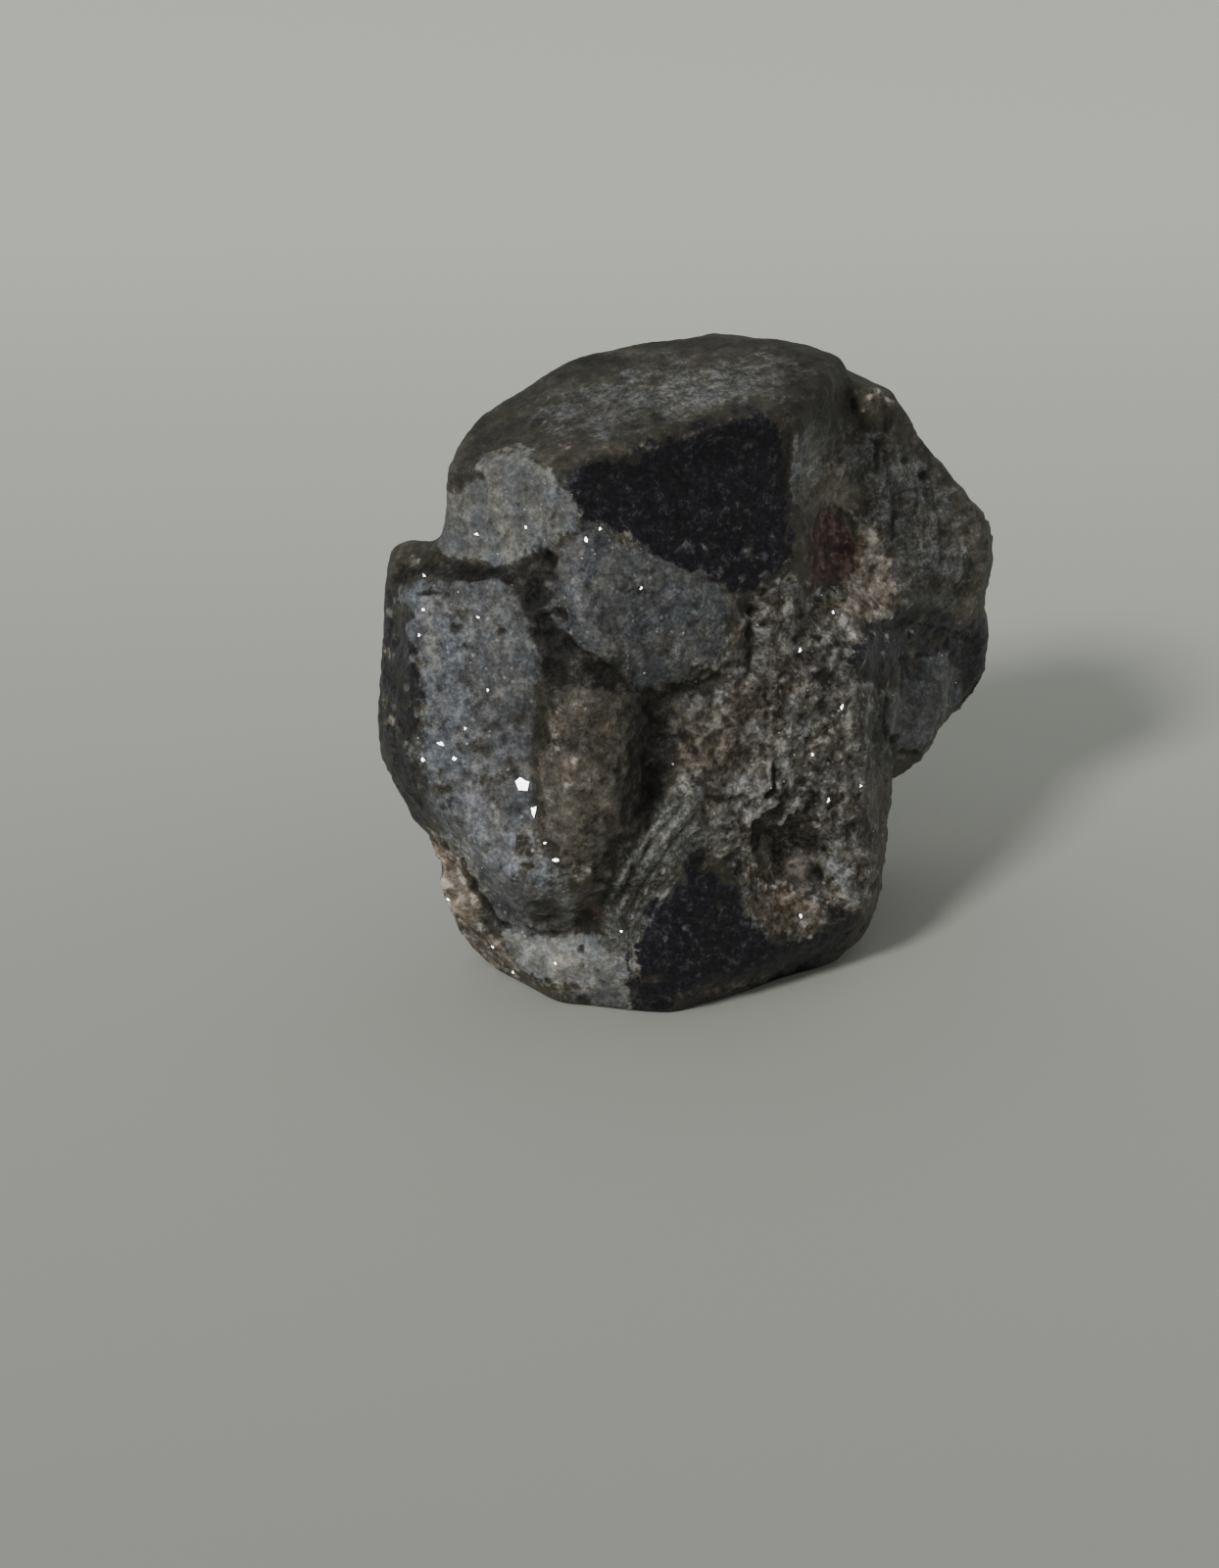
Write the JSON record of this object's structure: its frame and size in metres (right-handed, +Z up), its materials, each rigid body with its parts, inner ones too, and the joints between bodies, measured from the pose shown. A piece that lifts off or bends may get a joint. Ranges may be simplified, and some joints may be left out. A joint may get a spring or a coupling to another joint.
{
  "type": "fairy cross staurolite",
  "caption": "water-worn staurolite twin in the shape of a stubby cross, with patches of grey schist, standing on its worn lower end",
  "frame": {"origin": "under the middle of the stone's box, on the surface that it stands on", "axes": "+X along the cross crystal, +Y away from the side that shows the cross best, +Z up along the upright crystal"},
  "size_m": [0.037, 0.0176, 0.0315],
  "materials": {
    "stone": "worn, matte with a dull sheen"
  },
  "bodies": {
    "root": {"staurolite_twin": "stone"}
  },
  "joints": []
}
